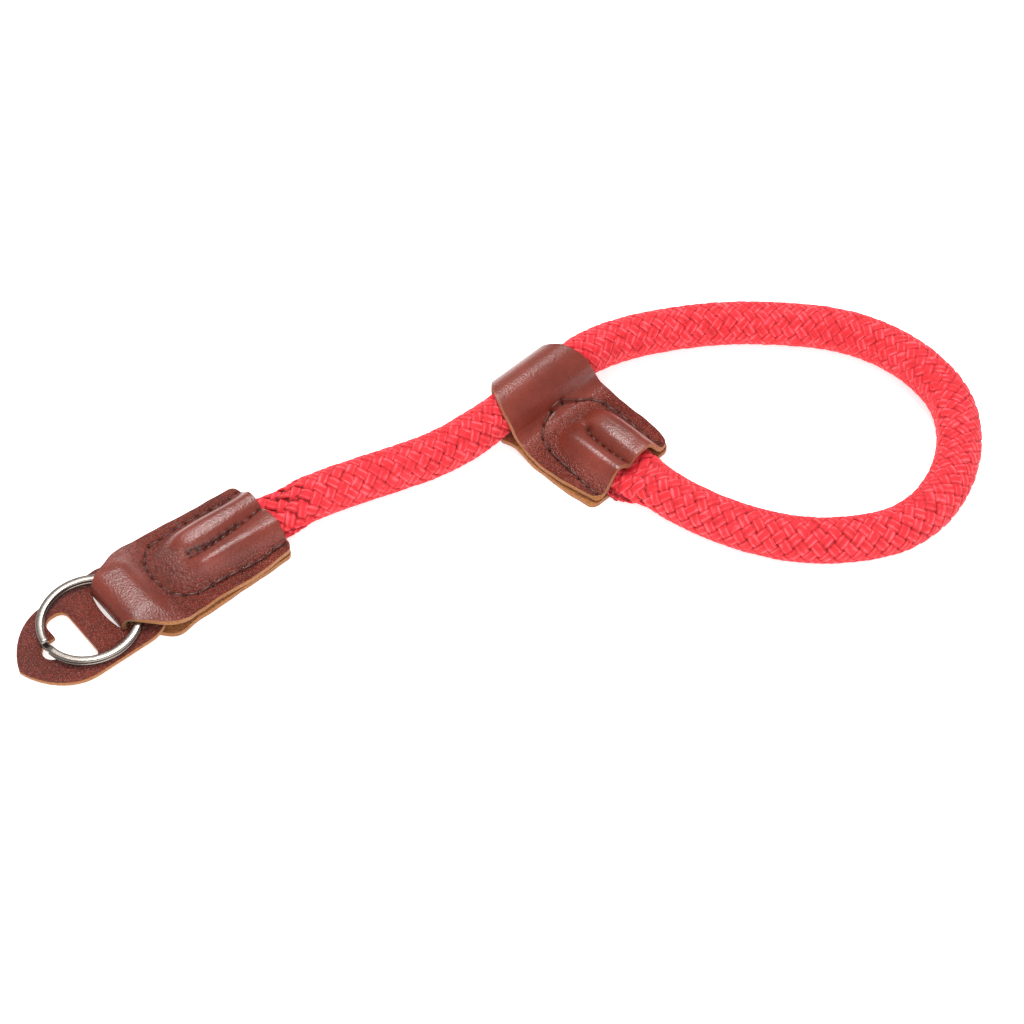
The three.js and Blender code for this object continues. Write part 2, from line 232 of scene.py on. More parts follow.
# along; height, half width and middle of the swelling; depth and place of its groove; rise of each margin
MOULD_COLUMNS = {"lift": 1, "span": 2, "centre": 3, "groove": 4, "groove_at": 5, "far_margin": 6, "near_margin": 7}
CONNECTOR["mould"] = np.array([
    (2.5, 0, 5, 0, 0, 1, 0, 0),
    (6, 0, 5, 0, 0, 1, -1.1, -1.1),
    (9.5, 0, 5, 0, 0, 1, -1.1, -1.1),
    (13.6, 0, 5, 0, 0, 1, 0, 0),
    (16.5, 0.8, 7.4, 0, 0, 1, 0, 0),
    (20, 2.7, 8.6, 0, 0.1, 0, 0, 0),
    (22, 3.8, 9.0, 0, 1.1, -0.4, 0, 0),
    (24, 4.5, 9.2, 0, 2.1, -0.8, 0, 0),
    (30, 5.1, 9.3, -0.2, 2.3, -1.0, 0.3, 0.1),
    (37, 5.0, 9.3, -0.4, 2.1, -0.4, 0.7, 0.3),
    (43.4, 4.4, 9.7, -0.2, 1.6, 0.7, 1.0, 0.5),
])
SLIDER["mould"] = np.array([
    (16.5, 0, 6, 0.4, 0, 1.2, 0, 0),
    (19, 1.0, 8.6, 0.4, 0, 1.2, 0, 0),
    (21.5, 3.7, 9.6, 0.3, 0.2, 0.8, 0, 0),
    (23.5, 5.0, 9.9, 0.2, 2.0, 0.1, 0, 0),
    (26, 5.5, 10.1, 0.1, 2.8, -0.9, 0, 0),
    (30, 5.7, 10.1, 0, 2.9, -1.3, 0.2, 0.1),
    (35, 5.6, 10.0, 0.0, 2.6, -1.4, 0.3, 0.2),
    (39, 5.3, 9.8, -0.1, 2.0, -1.4, 0.6, 0.3),
])
print("strip stations", len(CONNECTOR["strip"]), len(SLIDER["strip"]))

# %% Reading the tables
MARGIN_FROM, MARGIN_TO = 6.0, 11.5  # across the strip, where its margin begins to rise or fall
SHOULDER_FROM, SHOULDER_TO = 0.43, 1.14  # shares of the span between which the swelling comes down
GROOVE_WIDTH = 1.6
GROOVE_POWER = 1.5  # below 2 the groove has a sharp bottom


def smoothstep(value, low, high):
    share = np.clip((value - low) / (high - low), 0, 1)
    return share * share * (3 - 2 * share)


def smootherstep(value, low, high):
    share = np.clip((value - low) / (high - low), 0, 1)
    return share**3 * (share * (share * 6 - 15) + 10)


MOULD_STEP, MOULD_SOFTNESS = 0.25, 1.7
MOULD_STOPS = np.arange(-12.0, 70.0, MOULD_STEP)
MOULD_EASE = np.exp(-(np.arange(-5.0, 5.1, MOULD_STEP) / MOULD_SOFTNESS) ** 2)  # weights that round its corners


def read_mould(mould, column, along):
    """One column of a mould table at places along the strip, with its corners eased."""
    level = np.interp(MOULD_STOPS, mould[:, 0], mould[:, MOULD_COLUMNS[column]])
    padded = np.pad(level, len(MOULD_EASE) // 2, mode="edge")
    return np.interp(along, MOULD_STOPS, np.convolve(padded, MOULD_EASE / MOULD_EASE.sum(), mode="valid"))


def upper_lift(mould, along, across, groove_width=GROOVE_WIDTH):
    """Height that the mould adds to the upper ply."""
    share = np.abs(across - read_mould(mould, "centre", along)) / read_mould(mould, "span", along)
    dome = read_mould(mould, "lift", along) * (1 - smootherstep(share, SHOULDER_FROM, SHOULDER_TO))
    off_groove = (across - read_mould(mould, "groove_at", along)) / groove_width
    groove = read_mould(mould, "groove", along) * np.exp(-(np.abs(off_groove) ** GROOVE_POWER))
    margin = read_mould(mould, "far_margin", along) * smoothstep(across, MARGIN_FROM, MARGIN_TO)
    margin = margin + read_mould(mould, "near_margin", along) * smoothstep(-across, MARGIN_FROM, MARGIN_TO)
    return dome - groove + margin


def even_curve(rows, place):
    """Catmull-Rom reading of a table's rows, with place running from 0 at the first row to 1 at the last."""
    padded = np.vstack([2 * rows[0] - rows[1], rows, 2 * rows[-1] - rows[-2]])
    where = np.clip(place, 0, 1) * (len(rows) - 1)
    row = np.minimum(where.astype(int), len(rows) - 2)
    t = (where - row)[:, None]
    before, start, end, after = padded[row], padded[row + 1], padded[row + 2], padded[row + 3]
    into, out_of = (end - before) / 2, (after - start) / 2
    return (
        start
        + into * t
        + (3 * (end - start) - 2 * into - out_of) * t**2
        + (2 * (start - end) + into + out_of) * t**3
    )


def to_table(piece, local):
    """Local millimetres of a strip to the frame's millimetres."""
    turn = math.radians(piece["turn"])
    x = piece["place"][0] + local[:, 0] * math.cos(turn) - local[:, 1] * math.sin(turn)
    y = piece["place"][1] + local[:, 0] * math.sin(turn) + local[:, 1] * math.cos(turn)
    return np.stack([x, y, local[:, 2]], axis=1)


def from_table(piece, point):
    """The frame's millimetres to local millimetres of a strip."""
    turn = math.radians(piece["turn"])
    dx, dy = point[:, 0] - piece["place"][0], point[:, 1] - piece["place"][1]
    along = dx * math.cos(turn) + dy * math.sin(turn)
    across = -dx * math.sin(turn) + dy * math.cos(turn)
    return np.stack([along, across, point[:, 2]], axis=1)


ridge = upper_lift(CONNECTOR["mould"], np.array([30.0]), np.array([5.0]))
print("ridge of the connector", round(float(ridge[0]), 2))

# %% [markdown]
# ## Colours and finishes
# The cord is soft spun yarn, dyed one warm red. It scatters light, so it has no gloss, only a pale bloom at glancing
# angles, and each yarn shows its fibres as fine lines along it.

# %% Dyed yarn
FIBRE_WIDTH_MM = 0.36  # real fibres are finer; drawn this coarse so that they show
YARN_MM = 0.775  # width of one of the yarns that lie side by side in a strand
YARN_GLOW_MM = 0.8  # how far red light travels inside the fibres
FIBRE_DRAW = 0.1  # fibres are ten times as long as they are wide
YARN_ROUNDNESS = 0.22  # height of a yarn's back against that of its fibres
YARN_BUMP_MM = 0.22
WEAR_PATCH_MM = 2.2
WEAR_SHARE, DEPTH_SHADE_SHARE, FIBRE_AND_SHADE_SHARE = 0.5, 0.42, 0.4  # how much each brightens the dye: wear patches, painted light on strand tops over shade in pits, fibres with shade between yarns
DEEP_AT, USUAL_AT, PALE_AT = 0.42, 0.86, 1.0  # brightness at which each red is reached; deep and pale also carry the painted shade and highlight


def yarn_material(name, deep, usual, pale):
    """Spun yarn: fibres follow the strand, which the mesh stores in the map called strand, in metres."""
    material, tree, shader = new_material(name)
    strand = add(tree, "UVMap", uv_map="strand")
    drawn = add(tree, "Mapping", {"Vector": strand, "Scale": (FIBRE_DRAW, 1.0, 1.0)})
    fibres = add(
        tree,
        "TexNoise",
        {"Vector": drawn, "Scale": 1 / (FIBRE_WIDTH_MM * MM), "Detail": 3.0, "Roughness": 0.65},
    )
    # Each yarn's back shapes the bump, and in the colour it also paints light on its crown and shade between yarns.
    round_strand = add(tree, "SeparateXYZ", {"Vector": strand})
    turns = 2 * math.pi / (YARN_MM * MM)
    turn = add(tree, "Math", {0: round_strand.outputs[1], 1: turns}, operation="MULTIPLY")
    back = add(tree, "Math", {0: turn}, operation="SINE")
    height = add(tree, "Math", {0: back, 1: YARN_ROUNDNESS, 2: fibres.outputs["Fac"]}, operation="MULTIPLY_ADD")
    place = add(tree, "TexCoord").outputs["Object"]
    patches = add(tree, "TexNoise", {"Vector": place, "Scale": 1 / (WEAR_PATCH_MM * MM), "Detail": 3.0})
    # Painted shade: the depth share darkens the yarn in the pits between strands and lightens it on their tops.
    depth = add(tree, "Attribute", attribute_name="depth").outputs["Fac"]
    depth_shade = add(tree, "Math", {0: depth, 1: DEPTH_SHADE_SHARE}, operation="MULTIPLY")
    wear_and_depth_shade = add(tree, "Math", {0: patches.outputs["Fac"], 1: WEAR_SHARE, 2: depth_shade}, operation="MULTIPLY_ADD")
    lit = add(tree, "Math", {0: height, 1: FIBRE_AND_SHADE_SHARE, 2: wear_and_depth_shade}, operation="MULTIPLY_ADD")
    bump = add(tree, "Bump", {"Height": height, "Strength": 1.0, "Distance": YARN_BUMP_MM * MM})
    plug(shader, {
        "Base Color": colour_ramp(tree, lit, [(DEEP_AT, deep), (USUAL_AT, usual), (PALE_AT, pale)]),
        "Normal": bump,
        "Roughness": 0.78,
        "IOR": 1.45,
        "Sheen Weight": 0.25,
        "Sheen Roughness": 0.4,
        "Sheen Tint": linear("#ff8f92"),
        "Subsurface Weight": 0.3,
        "Subsurface Radius": (1.0, 0.25, 0.2),
        "Subsurface Scale": YARN_GLOW_MM * MM,
    })
    return material


# Both ramps carry painted shade and highlight; the core's copy is painted darker, as shade deep under the strands.
yarn = yarn_material("spun_yarn_dyed_red", "#84070f", "#e02530", "#fb5c66")
core_yarn = yarn_material("spun_yarn_in_shade", "#9c0c18", "#c01a26", "#cc2a35")
print("yarns", yarn.name, core_yarn.name)

# %% [markdown]
# The leather is vegetable tanned and drum dyed brown, with its fine pebble grain kept and a wax finish. It is
# pebbled where it lies flat. Where it is stretched over the cord or round a fold, the pebbles are pulled smooth, so
# its shine is unbroken. The cut edges show the undyed tan fibres, and the back is brushed suede.

# %% Leather: grain side, cut edge and suede
PEBBLE_MM = 0.6  # real pebbles are finer; drawn this coarse so that they show
PEBBLE_BUMP_MM = 0.5
PORE_MM = 0.22
BEND_MM, BEND_BY_MM = 1.6, 0.35  # the rows of pebbles bend over this length, by this much
DYE_PATCH_MM = 9
EDGE_NAP_MM, SUEDE_NAP_MM, NAP_BUMP_MM = 0.45, 0.6, 0.15
VALLEY_FROM, VALLEY_TO = 0.25, 0.7  # distance from a pebble's middle, in pebbles
# Painted light on each pebble's top and painted shade in the valleys between pebbles.
TOP_SHADE, VALLEY_SHADE = 1.16, 0.64
SMOOTHED, SMOOTH_SHADE, SMOOTH_BUMP = 0.8, 0.84, 0.16  # how far stretching takes the pebbles and their painted light and shade away, the even, slightly darker tone left, and the bump left
GLOSSY, DULL, STRETCH_DULL = 0.13, 0.3, 0.08


def leather_grain(name, dark, middle, light):
    """Dyed side: pebbles with painted light and shade that fade with stretch, and painted shade at the stitches."""
    material, tree, shader = new_material(name)
    place = add(tree, "TexCoord").outputs["Object"]
    wander = add(tree, "TexNoise", {"Vector": place, "Scale": 1 / (BEND_MM * MM), "Detail": 2.0})
    moved = add(
        tree,
        "VectorMath",
        {0: wander.outputs["Color"], 1: [BEND_BY_MM * MM] * 3, 2: place},
        operation="MULTIPLY_ADD",
    )
    pebbles = add(
        tree,
        "TexVoronoi",
        {"Vector": moved, "Scale": 1 / (PEBBLE_MM * MM), "Randomness": 0.9, "Smoothness": 0.3},
        feature="SMOOTH_F1",
    )
    pores = add(tree, "TexNoise", {"Vector": place, "Scale": 1 / (PORE_MM * MM), "Detail": 2.0})
    clouds = add(tree, "TexNoise", {"Vector": place, "Scale": 1 / (DYE_PATCH_MM * MM), "Detail": 4.0})
    stitch_shade = add(tree, "Attribute", attribute_name="stitch_shade").outputs["Fac"]
    dye = colour_ramp(tree, clouds.outputs["Fac"], [(0.3, dark), (0.5, middle), (0.72, light)])
    # Painted light on the pebble tops and painted shade in the valleys between them.
    pebble_shade = add(tree, "MapRange", {
        "Value": pebbles.outputs["Distance"],
        "From Min": VALLEY_FROM, "From Max": VALLEY_TO, "To Min": TOP_SHADE, "To Max": VALLEY_SHADE,
    })
    stretch = add(tree, "Attribute", attribute_name="stretch").outputs["Fac"]
    faded = add(tree, "Math", {0: stretch, 1: SMOOTHED}, operation="MULTIPLY")
    shade = add(tree, "Mix", {"Factor": faded, 2: pebble_shade, 3: SMOOTH_SHADE})
    shaded = add(tree, "VectorMath", {0: dye, "Scale": shade}, operation="SCALE")
    # Painted shade: near black at the stitch holes and groove pits, fainter along the sewn lines.
    darker = add(tree, "Mix", {"Factor": stitch_shade, 6: shaded, 7: linear("#120605")}, data_type="RGBA")
    height = add(
        tree,
        "Math",
        {0: pebbles.outputs["Distance"], 1: -1.0, 2: pores.outputs["Fac"]},
        operation="MULTIPLY_ADD",
    )
    pull = add(tree, "MapRange", {"Value": stretch, "To Min": 1.0, "To Max": SMOOTH_BUMP})
    bump = add(tree, "Bump", {"Height": height, "Strength": pull, "Distance": PEBBLE_BUMP_MM * MM})
    rough = add(tree, "MapRange", {"Value": pores.outputs["Fac"], "To Min": GLOSSY, "To Max": DULL})
    matter = add(tree, "Math", {0: stretch, 1: STRETCH_DULL, 2: rough}, operation="MULTIPLY_ADD")
    plug(shader, {
        "Base Color": darker.outputs[2],
        "Normal": bump,
        "Roughness": matter,
        "IOR": 1.5,
        "Specular IOR Level": 0.5,
    })
    return material


def leather_fibres(name, dark, light, grain_mm, roughness):
    """Suede and cut edges: loose fibres, coarse and without gloss."""
    material, tree, shader = new_material(name)
    place = add(tree, "TexCoord").outputs["Object"]
    layers = add(tree, "Mapping", {"Vector": place, "Scale": (1.0, 1.0, 3.0)})
    nap = add(tree, "TexNoise", {"Vector": layers, "Scale": 1 / (grain_mm * MM), "Detail": 5.0})
    bump = add(tree, "Bump", {"Height": nap.outputs["Fac"], "Strength": 0.7, "Distance": NAP_BUMP_MM * MM})
    plug(shader, {
        "Base Color": colour_ramp(tree, nap.outputs["Fac"], [(0.34, dark), (0.66, light)]),
        "Normal": bump,
        "Roughness": roughness,
        "Sheen Weight": 0.2,
    })
    return material


grain = leather_grain("leather_drum_dyed_waxed", "#6d2a1d", "#7b3022", "#88392b")
edge = leather_fibres("leather_cut_edge_undyed", "#7c421c", "#b0743a", EDGE_NAP_MM, 0.85)
suede = leather_fibres("leather_flesh_side_brushed", "#74441f", "#b47238", SUEDE_NAP_MM, 0.95)
LEATHER_SIDES = [grain, suede, edge]
print("leather", [side.name for side in LEATHER_SIDES])

# %% Waxed thread and ring steel
THREAD_TWIST_MM, THREAD_BUMP_MM = 2.2, 0.05
SCUFF_MM, SCUFF_BUMP_MM = 0.8, 0.02

# Wax darkens the twisted thread and gives it a dull shine.
thread, tree, shader = new_material("waxed_thread_dark_brown")
twist_place = add(tree, "Attribute", attribute_name="strand").outputs["Vector"]
twist = add(
    tree,
    "TexWave",
    {"Vector": twist_place, "Scale": 1 / (THREAD_TWIST_MM * MM), "Distortion": 0.5},
    bands_direction="DIAGONAL",
)
bump = add(tree, "Bump", {"Height": twist.outputs["Fac"], "Strength": 0.6, "Distance": THREAD_BUMP_MM * MM})
plug(shader, {"Base Color": linear("#52302a"), "Roughness": 0.38, "Normal": bump})

# Drawing leaves the wire even, and polishing leaves it bright, with only the faint scuffs of use.
steel, tree, shader = new_material("steel_drawn_and_polished")
steel_place = add(tree, "TexCoord").outputs["Object"]
scuffs = add(tree, "TexNoise", {"Vector": steel_place, "Scale": 1 / (SCUFF_MM * MM), "Detail": 4.0})
rough = add(tree, "MapRange", {"Value": scuffs.outputs["Fac"], "To Min": 0.2, "To Max": 0.3})
bump = add(tree, "Bump", {"Height": scuffs.outputs["Fac"], "Strength": 0.06, "Distance": SCUFF_BUMP_MM * MM})
plug(shader, {"Base Color": linear("#8a827b"), "Metallic": 1.0, "Roughness": rough, "Normal": bump})
print("thread and ring", thread.name, steel.name)

# %% [markdown]
# ## Rolling a grid into a strand
# Yarn, stitches and ring wire are all long and closed, with a changing section. Each starts as a flat grid. Rolling
# the grid closes it into a tube, the seam is welded, the two ends are filled, and the map of the flat grid stays on
# it, in metres, so that fibres can follow the strand.

# %% Helpers for moving a mesh's points
def read_points(mesh):
    flat = np.empty(len(mesh.vertices) * 3)
    mesh.vertices.foreach_get("co", flat)
    return flat.reshape(-1, 3)


def write_points(mesh, points):
    mesh.vertices.foreach_set("co", (points * MM).ravel())
    mesh.update()


def write_share(mesh, name, values):
    """Keeps a number from 0 to 1 for every point, for a material to read."""
    mesh.attributes.new(name, "FLOAT", "POINT").data.foreach_set("value", np.clip(values, 0, 1))


def unit(vectors):
    return vectors / np.linalg.norm(vectors, axis=-1, keepdims=True)


def finish_piece(mesh, materials, node):
    """Puts a finished mesh in the scene, under its own name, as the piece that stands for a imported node."""
    for material in materials:
        mesh.materials.append(material)
    mesh.polygons.foreach_set("use_smooth", [True] * len(mesh.polygons))
    piece = bpy.data.objects.new(mesh.name, mesh)
    scene.collection.objects.link(piece)
    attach(piece, "root")
    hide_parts(node)
    return piece


MAP_SHIFT = (1.7, 9.3)  # between the maps of two strands, so that they do not show the same fibres
WELD_DISTANCE = 1e-7


def rolled_mesh(name, surface, along, girth, depth=None):
    """Closed strands from surface, which holds a point in mm for every strand, ring and side; along is the length
    at each ring, and girth is the distance round."""
    strands, rings, sides = surface.shape[:3]
    bm = bmesh.new()
    for strand in range(strands):
        flat = bmesh.ops.create_grid(bm, x_segments=rings - 1, y_segments=sides, size=1.0)
        bmesh.ops.translate(bm, verts=flat["verts"], vec=(0.0, 0.0, float(strand)))
    mesh = bpy.data.meshes.new(name)
    bm.to_mesh(mesh)
    bm.free()

    flat = read_points(mesh)
    ring = np.rint((flat[:, 0] + 1) / 2 * (rings - 1)).astype(int)
    side = np.rint((flat[:, 1] + 1) / 2 * sides).astype(int)
    strand = np.rint(flat[:, 2]).astype(int)
    write_points(mesh, surface[strand, ring, side % sides])
    # The depth share is what the yarn colour reads to paint shade in the pits.
    if depth is not None:
        write_share(mesh, "depth", depth[strand, ring, side % sides])
    corners = np.empty(len(mesh.loops), dtype=np.int32)
    mesh.loops.foreach_get("vertex_index", corners)
    map_u = along[ring] + strand * MAP_SHIFT[0]
    map_v = side / sides * girth + strand * MAP_SHIFT[1]
    mesh.uv_layers.new(name="strand").data.foreach_set(
        "uv", (np.stack([map_u[corners], map_v[corners]], axis=1) * MM).ravel()
    )

    bm = bmesh.new()
    bm.from_mesh(mesh)
    bmesh.ops.remove_doubles(bm, verts=bm.verts, dist=WELD_DISTANCE)
    bmesh.ops.holes_fill(bm, edges=bm.edges, sides=sides)
    bmesh.ops.recalc_face_normals(bm, faces=bm.faces)
    bm.to_mesh(mesh)
    bm.free()
    return mesh


def round_section(sides, roundness):
    """Points round a section from -1 to 1: roundness 1 is an ellipse, and a smaller one is squarer."""
    angles = np.arange(sides) / sides * 2 * math.pi
    shape = np.stack([np.cos(angles), np.sin(angles)], axis=1)
    return np.sign(shape) * np.abs(shape) ** roundness


def strand_surface(middle, outward, half_width, half_height, section):
    """Lays a section round each strand's middle line, with its height towards outward."""
    run = unit(np.gradient(middle, axis=1))
    across = unit(np.cross(run, outward))
    up = np.cross(across, run)
    wide = across[:, :, None] * section[None, None, :, :1] * half_width[..., None, None]
    high = up[:, :, None] * section[None, None, :, 1:] * half_height[..., None, None]
    return middle[:, :, None] + wide + high


print("section points", round_section(8, 0.8).shape)

# %% [markdown]
# ## The cord's route
# The route is a list of points along the middle of the cord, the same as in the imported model. A smooth curve goes
# through them and is cut into even steps, because the braid has to be laid along it by length.

# %% Route
ROPE_ROUTE = np.array([
    (-77.9, -25.7, 3.5), (-71.3, -20.3, 3.9), (-64.3, -14.8, 3.9), (-57.4, -10.4, 4.6), (-49.8, -7.3, 5.4),
    (-41.3, -3.2, 5.7), (-30.3, 1.8, 5.6), (-19.3, 7.0, 5.6), (-11.3, 12.2, 6.1), (-5.2, 17.7, 6.6),
    (1.3, 24.2, 6.6), (7.8, 30.7, 6.6), (14.3, 37.0, 6.6), (21.3, 42.1, 6.1), (30.7, 46.5, 5.6), (43.7, 49.6, 5.55),
    (55.7, 50.7, 5.55), (67.7, 50.2, 5.55), (79.2, 48.3, 5.55), (89.7, 43.5, 5.55), (98.7, 35.2, 5.55),
    (104.8, 23.0, 5.55), (104.4, 8.0, 5.55), (98.2, -6.3, 5.55), (88.5, -15.2, 5.55), (77.2, -18.5, 5.55),
    (66.2, -18.8, 5.55), (55.7, -16.4, 5.55), (45.5, -11.9, 5.6), (36.0, -5.6, 5.7), (27.6, 3.2, 5.0),
    (21.1, 10.6, 4.2), (15.4, 16.7, 4.2),
])
STEPS_PER_PITCH = 10
BRAID_PITCH = 3.35  # from one strand to the next one of the same hand, along the cord
EASE_STEPS = 7  # over which a bend is smoothed
FINE_STEPS = 8000


def even_steps(points, step):
    """The same line, cut into steps of one length."""
    lengths = np.concatenate([[0], np.cumsum(np.linalg.norm(np.diff(points, axis=0), axis=1))])
    stops = np.linspace(0, lengths[-1], round(lengths[-1] / step) + 1)
    return np.stack([np.interp(stops, lengths, points[:, k]) for k in range(3)], axis=1), stops


def eased(points, steps):
    """Smooths the bends of a line without moving its ends."""
    reach = 3 * steps
    weights = np.exp(-((np.arange(-reach, reach + 1) / steps) ** 2) / 2)
    before = 2 * points[0] - points[1 : reach + 1][::-1]
    after = 2 * points[-1] - points[-reach - 1 : -1][::-1]
    padded = np.vstack([before, points, after])
    columns = [np.convolve(padded[:, k], weights / weights.sum(), mode="valid") for k in range(3)]
    return np.stack(columns, axis=1)


fine = even_curve(ROPE_ROUTE, np.linspace(0, 1, FINE_STEPS))
centre, travelled = even_steps(fine, BRAID_PITCH / STEPS_PER_PITCH)
centre = eased(centre, EASE_STEPS)
forward = unit(np.gradient(centre, axis=0))
sideways = unit(np.cross(forward, [0.0, 0.0, 1.0]))
upward = np.cross(sideways, forward)
print("cord is", round(travelled[-1], 1), "mm long, in", len(centre), "steps")

# %% [markdown]
# ## Where the cord is not round
# Its two ends are pressed flat between the plies of the leather and come back to round just outside. The slider's
# fold also squeezes the part that runs through it. Both are worked out in the leather's own directions, and the
# strands keep their thickness as the outline round them changes.

# %% Pressing the cord
PRESS_START = 12.0  # from the fold, past the passing cord
PRESS_FROM, PRESS_TO = 1.0, 11.0  # outside the mouth: fully pressed as far as one, round from the other
PRESS_BESIDE = (5.5, 11.0)  # beside the strip's middle line, where the pressing fades out
FLAT_SHARE = 0.8  # below 1 the pressed outline is flat on top and underneath
LEAST_HALF_HEIGHT = 0.5
REST_SOFTNESS = 0.4  # height within which the cord flattens on the table
TUNNEL = {"axis": 6.2, "half": 11.0, "fade": 10.0, "squeeze": 0.08}  # along; half length and fade across; share


def press_end(piece, middle, points):
    """Presses the part of the cord that lies in a strip's mouth."""
    core_local = from_table(piece, middle.reshape(-1, 3)).reshape(middle.shape)
    local = from_table(piece, points.reshape(-1, 3)).reshape(points.shape)
    reach = piece["length"] + PRESS_TO
    held = (core_local[..., 0] >= PRESS_START) * (1 - smoothstep(np.abs(core_local[..., 1]), *PRESS_BESIDE))
    amount = (1 - smoothstep(core_local[..., 0], piece["length"] + PRESS_FROM, reach)) * held
    dy = local[..., 1] - core_local[..., 1]
    dz = local[..., 2] - core_local[..., 2]
    distance = np.hypot(dy, dz) + 1e-6
    inside = ROPE_RADIUS - distance
    rim_y = dy / distance * piece["half_width"]
    across = core_local[..., 1] + rim_y
    low = LEATHER + CLEARANCE
    lift = upper_lift(piece["mould"], local[..., 0].ravel(), across.ravel(), 2 * GROOVE_WIDTH)
    high = LEATHER - CLEARANCE / 2 + lift.reshape(across.shape)
    half_height = (high - low) / 2
    level = np.clip(dz / distance / FLAT_SHARE, -1, 1)
    rim_z = (low + high) / 2 + half_height * level
    out_y = dy / distance / piece["half_width"]
    out_z = dz / distance / np.maximum(half_height, LEAST_HALF_HEIGHT)
    out_length = np.hypot(out_y, out_z)
    pressed = local.copy()
    pressed[..., 1] = across - inside * out_y / out_length
    pressed[..., 2] = rim_z - inside * out_z / out_length
    mixed = local + (pressed - local) * amount[..., None]
    return to_table(piece, mixed.reshape(-1, 3)).reshape(points.shape)


def squeeze_passing(middle, points):
    """Makes the cord a little thinner where it runs through the slider's fold."""
    core_local = from_table(SLIDER, middle.reshape(-1, 3)).reshape(middle.shape)
    passing = np.abs(core_local[..., 0] - TUNNEL["axis"]) <= ROPE_RADIUS
    away = smoothstep(np.abs(core_local[..., 1]), TUNNEL["half"], TUNNEL["half"] + TUNNEL["fade"])
    keep = 1 - TUNNEL["squeeze"] * (1 - away) * passing
    return middle + (points - middle) * keep[..., None]


def shape_cord(points):
    """Presses and squeezes strands whose second index is the step along the cord, and rests them on the table."""
    middle = np.broadcast_to(centre[None, :, None, :], points.shape)
    points = squeeze_passing(middle, points)
    points = press_end(CONNECTOR, middle, points)
    points = press_end(SLIDER, middle, points)
    low = np.minimum(points[..., 2], REST_SOFTNESS)
    rested = REST_SOFTNESS * np.exp((low - REST_SOFTNESS) / REST_SOFTNESS)
    points[..., 2] = np.where(points[..., 2] < REST_SOFTNESS, rested, points[..., 2])
    return points


print("steps in the tunnel", int((np.abs(from_table(SLIDER, centre)[:, 0] - TUNNEL["axis"]) < 3).sum()))

# %% [markdown]
# ## The braid
# Sixteen strands of yarn make the cord's cover: eight wind to the right and eight to the left, and each passes over
# one and under the next. A strand lies flat like a tape where it is on top, and narrows where it dives. A flat
# texture of a braid would lose the bumpy outline, so every strand is real here, eight to a piece. A plain core fills
# the middle.

# %% Strands
STRANDS = 8
WIND_RADIUS = 4.62  # middle of the cover
WEAVE_DEPTH = 0.3  # a strand lies this much above or below it
WEAVE_SHARPNESS = 2.1  # how suddenly a strand dives
STRAND_HALF_WIDTH = 1.2
STRAND_SPREAD = 0.12  # wider on top and narrower where it dives
STRAND_HALF_HEIGHT = 0.44
STRAND_SIDES = 10
STRAND_ROUNDNESS = 0.5
STRAND_UNEVENNESS = 0.035
STRAND_LENGTHENING = math.sqrt(2)  # it winds at about 45 degrees
WANDER_DEGREES = 2.6  # small drifts to the side, in waves of these lengths
WANDER_WAVES = (11.0, 23.0, 41.0)
YARN_GIRTH = 5.6
PIT_RADIUS, TOP_RADIUS = 4.72, 5.25  # painted shade: darkest in the pits between strands, gone on the strands' tops
random_numbers = np.random.default_rng(12)


def braid_half(name, hand):
    """The eight strands that wind one way: hand is 1 or -1."""
    start = np.arange(STRANDS)[:, None] / STRANDS * 2 * math.pi
    turning = hand * 2 * math.pi * travelled[None] / (STRANDS * BRAID_PITCH)
    wander = np.zeros((STRANDS, len(travelled)))
    for wave_length in WANDER_WAVES:
        shift = random_numbers.uniform(0, 2 * math.pi, (STRANDS, 1))
        wander += np.sin(travelled[None] / wave_length * 2 * math.pi + shift) * math.radians(WANDER_DEGREES) / 2
    angle = start + turning + wander
    wave = np.cos(2 * math.pi * travelled / BRAID_PITCH)
    over = hand * np.tanh(WEAVE_SHARPNESS * wave) / math.tanh(WEAVE_SHARPNESS)
    radius = WIND_RADIUS + WEAVE_DEPTH * over + random_numbers.normal(0, STRAND_UNEVENNESS, (STRANDS, 1))
    outward = np.cos(angle)[..., None] * sideways[None] + np.sin(angle)[..., None] * upward[None]
    middle = centre[None] + outward * radius[..., None]
    half_width = np.broadcast_to(STRAND_HALF_WIDTH + STRAND_SPREAD * over, radius.shape)
    half_height = np.full(radius.shape, STRAND_HALF_HEIGHT)
    section = round_section(STRAND_SIDES, STRAND_ROUNDNESS)
    surface = strand_surface(middle, outward, half_width, half_height, section)
    # Painted shade: 0 in the pits between strands, 1 on their tops.
    reach = np.linalg.norm(surface - centre[None, :, None], axis=3)
    depth = (reach - PIT_RADIUS) / (TOP_RADIUS - PIT_RADIUS)
    return rolled_mesh(name, shape_cord(surface), travelled * STRAND_LENGTHENING, YARN_GIRTH, depth)


right_strands = finish_piece(braid_half("braid_right_strands", 1), [yarn], "rope")
left_strands = finish_piece(braid_half("braid_left_strands", -1), [yarn], "rope")
print("braid", len(right_strands.data.polygons) + len(left_strands.data.polygons), "faces")

# %% Core
CORE_RADIUS = 4.78
CORE_SIDES = 20
CORE_STEP = 3  # the core needs fewer steps than the strands

around = np.arange(CORE_SIDES) / CORE_SIDES * 2 * math.pi
core_out = np.cos(around)[None, :, None] * sideways[:, None] + np.sin(around)[None, :, None] * upward[:, None]
core_surface = shape_cord((centre[:, None] + core_out * CORE_RADIUS)[None])
core_mesh = rolled_mesh(
    "cord_core", core_surface[:, ::CORE_STEP], travelled[::CORE_STEP], 2 * math.pi * CORE_RADIUS
)
core = finish_piece(core_mesh, [core_yarn], "rope")
print("core faces", len(core.data.polygons))

# %% [markdown]
# ## The folded leather strips
# Each strip is a flat grid, carried onto the folded and moulded middle surface. Rows are spread by the strip's own
# length, so the grid stays even round the fold. The sewn line sinks into the surface and every stitch pulls a small
# pit. The grid then gets its thickness from a Solidify modifier, which keeps suede inside and a cut edge on the rim.

